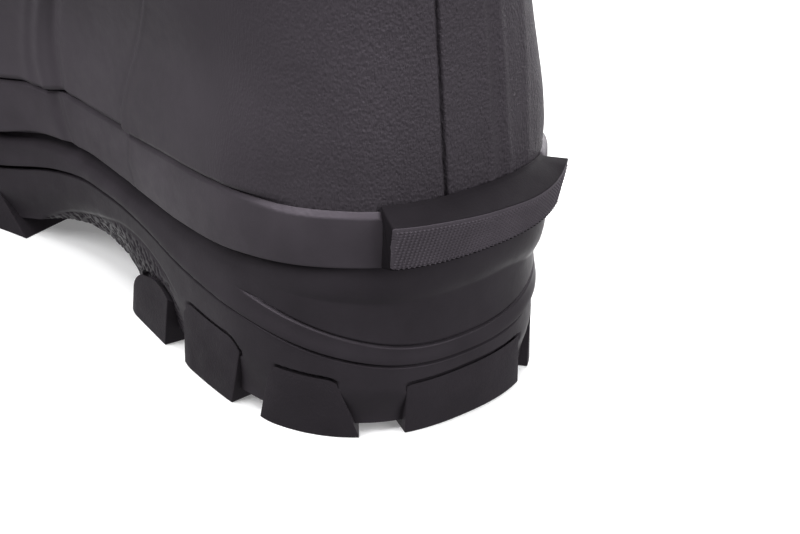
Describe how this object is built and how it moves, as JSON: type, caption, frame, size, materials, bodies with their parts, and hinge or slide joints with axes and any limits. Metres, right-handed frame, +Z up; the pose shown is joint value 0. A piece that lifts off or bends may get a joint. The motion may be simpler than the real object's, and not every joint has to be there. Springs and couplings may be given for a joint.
{
  "type": "neoprene wellington boot",
  "caption": "Wellington boot for the right foot: hollow rubber foot shell with a raised rand and a heel kick spur, soft neoprene shaft, and a cleated rubber sole with heel, arch and toe spring.",
  "frame": {"origin": "on the floor under the middle of the boot's box", "axes": "+X towards the toe, +Y towards the inner side of the foot, +Z up the shaft"},
  "size_m": [0.3117, 0.1204, 0.3968],
  "materials": {
    "outsole_rubber": "matt black moulded rubber",
    "midsole_rubber": "smooth satin black rubber",
    "insole_felt": "dark grey felt",
    "upper_rubber": "black rubber with a fine grain",
    "rand_rubber": "satin black rubber",
    "spur_rubber": "knurled black rubber",
    "shaft_neoprene": "black neoprene with a knitted face",
    "binding_tape": "black woven tape"
  },
  "bodies": {
    "root": {"outsole": "outsole_rubber", "midsole": "midsole_rubber", "insole": "insole_felt", "upper": "upper_rubber", "rand": "rand_rubber", "kick_spur": "spur_rubber", "shaft": "shaft_neoprene", "collar_binding": "binding_tape"}
  },
  "joints": []
}
